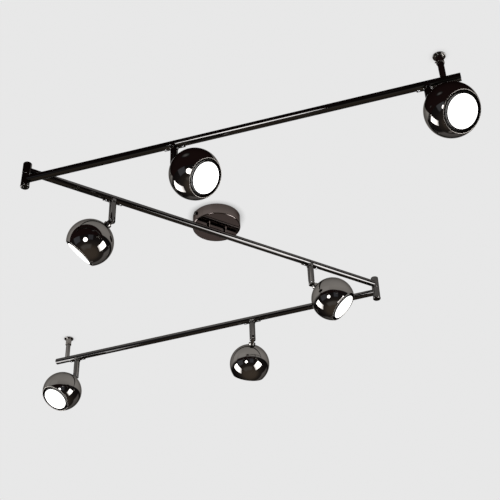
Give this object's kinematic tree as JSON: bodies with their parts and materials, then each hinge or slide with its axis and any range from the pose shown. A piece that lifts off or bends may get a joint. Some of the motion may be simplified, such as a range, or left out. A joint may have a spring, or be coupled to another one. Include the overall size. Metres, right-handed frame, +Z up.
{
  "type": "ceiling track spotlight",
  "caption": "Ceiling spotlight in black chrome: a folding zigzag track of round bars with swivelling, tilting globe heads, a round canopy and a ceiling strut at each free end.",
  "frame": {"origin": "middle of the mounting bracket, on its face against the ceiling, at the centre of the canopy", "axes": "+Z up into the ceiling, +X along the middle bar towards the pivot whose arm turns back on the +Y side"},
  "size_m": [0.7332, 1.1314, 0.1796],
  "materials": {
    "black_chrome": "dark mirror-polished nickel plating, slightly warm",
    "zinc_steel": "bright zinc plating, satin",
    "lamp_white": "white moulded lamp body with an opal front",
    "ceramic": "unglazed white lampholder",
    "terminal_plastic": "milky moulded terminal strip"
  },
  "bodies": {
    "canopy_and_middle_bar": {"canopy_cover": "black_chrome", "mounting_bracket": "zinc_steel", "terminal_block": "terminal_plastic", "canopy_screw_left": "black_chrome", "canopy_screw_right": "black_chrome", "bar_post_left": "black_chrome", "bar_post_right": "black_chrome", "middle_bar": "black_chrome", "left_pivot_bolt": "black_chrome", "right_pivot_bolt": "black_chrome", "saddle_3": "black_chrome", "saddle_4": "black_chrome"},
    "left_arm": {"left_outer_bar": "black_chrome", "left_strut_rod": "black_chrome", "saddle_1": "black_chrome", "saddle_2": "black_chrome"},
    "right_arm": {"right_outer_bar": "black_chrome", "right_strut_rod": "black_chrome", "saddle_5": "black_chrome", "saddle_6": "black_chrome"},
    "stem_1": {"stem_1": "black_chrome", "hinge_pin_1": "zinc_steel"},
    "head_1": {"hinge_arm_1": "black_chrome", "shade_1": "black_chrome", "lampholder_1": "ceramic", "lamp_1": "lamp_white"},
    "stem_2": {"stem_2": "black_chrome", "hinge_pin_2": "zinc_steel"},
    "head_2": {"hinge_arm_2": "black_chrome", "shade_2": "black_chrome", "lampholder_2": "ceramic", "lamp_2": "lamp_white"},
    "stem_3": {"stem_3": "black_chrome", "hinge_pin_3": "zinc_steel"},
    "head_3": {"hinge_arm_3": "black_chrome", "shade_3": "black_chrome", "lampholder_3": "ceramic", "lamp_3": "lamp_white"},
    "stem_4": {"stem_4": "black_chrome", "hinge_pin_4": "zinc_steel"},
    "head_4": {"hinge_arm_4": "black_chrome", "shade_4": "black_chrome", "lampholder_4": "ceramic", "lamp_4": "lamp_white"},
    "stem_5": {"stem_5": "black_chrome", "hinge_pin_5": "zinc_steel"},
    "head_5": {"hinge_arm_5": "black_chrome", "shade_5": "black_chrome", "lampholder_5": "ceramic", "lamp_5": "lamp_white"},
    "stem_6": {"stem_6": "black_chrome", "hinge_pin_6": "zinc_steel"},
    "head_6": {"hinge_arm_6": "black_chrome", "shade_6": "black_chrome", "lampholder_6": "ceramic", "lamp_6": "lamp_white"},
    "left_ceiling_socket": {"left_strut_socket": "black_chrome", "left_grub_screw": "zinc_steel"},
    "right_ceiling_socket": {"right_strut_socket": "black_chrome", "right_grub_screw": "zinc_steel"}
  },
  "joints": [
    {"name": "left_arm_swing", "type": "hinge", "parent": "canopy_and_middle_bar", "child": "left_arm", "pos_m": [-0.359, 0, -0.0515], "axis": [0, 0, 1], "range_deg": [-131.5, 18.5]},
    {"name": "right_arm_swing", "type": "hinge", "parent": "canopy_and_middle_bar", "child": "right_arm", "pos_m": [0.359, 0, -0.0515], "axis": [0, 0, 1], "range_deg": [-128.5, 21.5]},
    {"name": "head_1_swivel", "type": "hinge", "parent": "left_arm", "child": "stem_1", "pos_m": [0.07833, -0.49431, -0.0975], "axis": [0, 0, 1], "range_deg": [-127, 213]},
    {"name": "head_1_tilt", "type": "hinge", "parent": "stem_1", "child": "head_1", "pos_m": [0.07833, -0.49431, -0.0975], "axis": [-0.9997, 0.0262, 0], "range_deg": [-126, 34]},
    {"name": "head_2_swivel", "type": "hinge", "parent": "left_arm", "child": "stem_2", "pos_m": [-0.18672, -0.19473, -0.0975], "axis": [0, 0, 1], "range_deg": [-154.5, 185.5]},
    {"name": "head_2_tilt", "type": "hinge", "parent": "stem_2", "child": "head_2", "pos_m": [-0.18672, -0.19473, -0.0975], "axis": [-0.8988, -0.4384, 0], "range_deg": [-130, 30]},
    {"name": "head_3_swivel", "type": "hinge", "parent": "canopy_and_middle_bar", "child": "stem_3", "pos_m": [-0.204, 0, -0.079], "axis": [0, 0, 1], "range_deg": [-301.5, 38.5]},
    {"name": "head_3_tilt", "type": "hinge", "parent": "stem_3", "child": "head_3", "pos_m": [-0.204, 0, -0.079], "axis": [0.749, 0.6626, 0], "range_deg": [-125.5, 34.5]},
    {"name": "head_4_swivel", "type": "hinge", "parent": "canopy_and_middle_bar", "child": "stem_4", "pos_m": [0.204, 0, -0.079], "axis": [0, 0, 1], "range_deg": [-134.5, 205.5]},
    {"name": "head_4_tilt", "type": "hinge", "parent": "stem_4", "child": "head_4", "pos_m": [0.204, 0, -0.079], "axis": [-0.5807, -0.8141, 0], "range_deg": [-124.5, 35.5]},
    {"name": "head_5_swivel", "type": "hinge", "parent": "right_arm", "child": "stem_5", "pos_m": [0.19715, 0.20348, -0.0975], "axis": [0, 0, 1], "range_deg": [-111.5, 228.5]},
    {"name": "head_5_tilt", "type": "hinge", "parent": "stem_5", "child": "head_5", "pos_m": [0.19715, 0.20348, -0.0975], "axis": [0.9397, -0.342, 0], "range_deg": [-126, 34]},
    {"name": "head_6_swivel", "type": "hinge", "parent": "right_arm", "child": "stem_6", "pos_m": [-0.05186, 0.51652, -0.0975], "axis": [0, 0, 1], "range_deg": [-230.5, 109.5]},
    {"name": "head_6_tilt", "type": "hinge", "parent": "stem_6", "child": "head_6", "pos_m": [-0.05186, 0.51652, -0.0975], "axis": [-0.1564, 0.9877, 0], "range_deg": [-113.5, 46.5]},
    {"name": "left_strut_adjust", "type": "slide", "parent": "left_arm", "child": "left_ceiling_socket", "axis": [0, 0, 1], "range_m": [-0.0015, 0.006]},
    {"name": "right_strut_adjust", "type": "slide", "parent": "right_arm", "child": "right_ceiling_socket", "axis": [0, 0, 1], "range_m": [-0.0015, 0.006]}
  ]
}
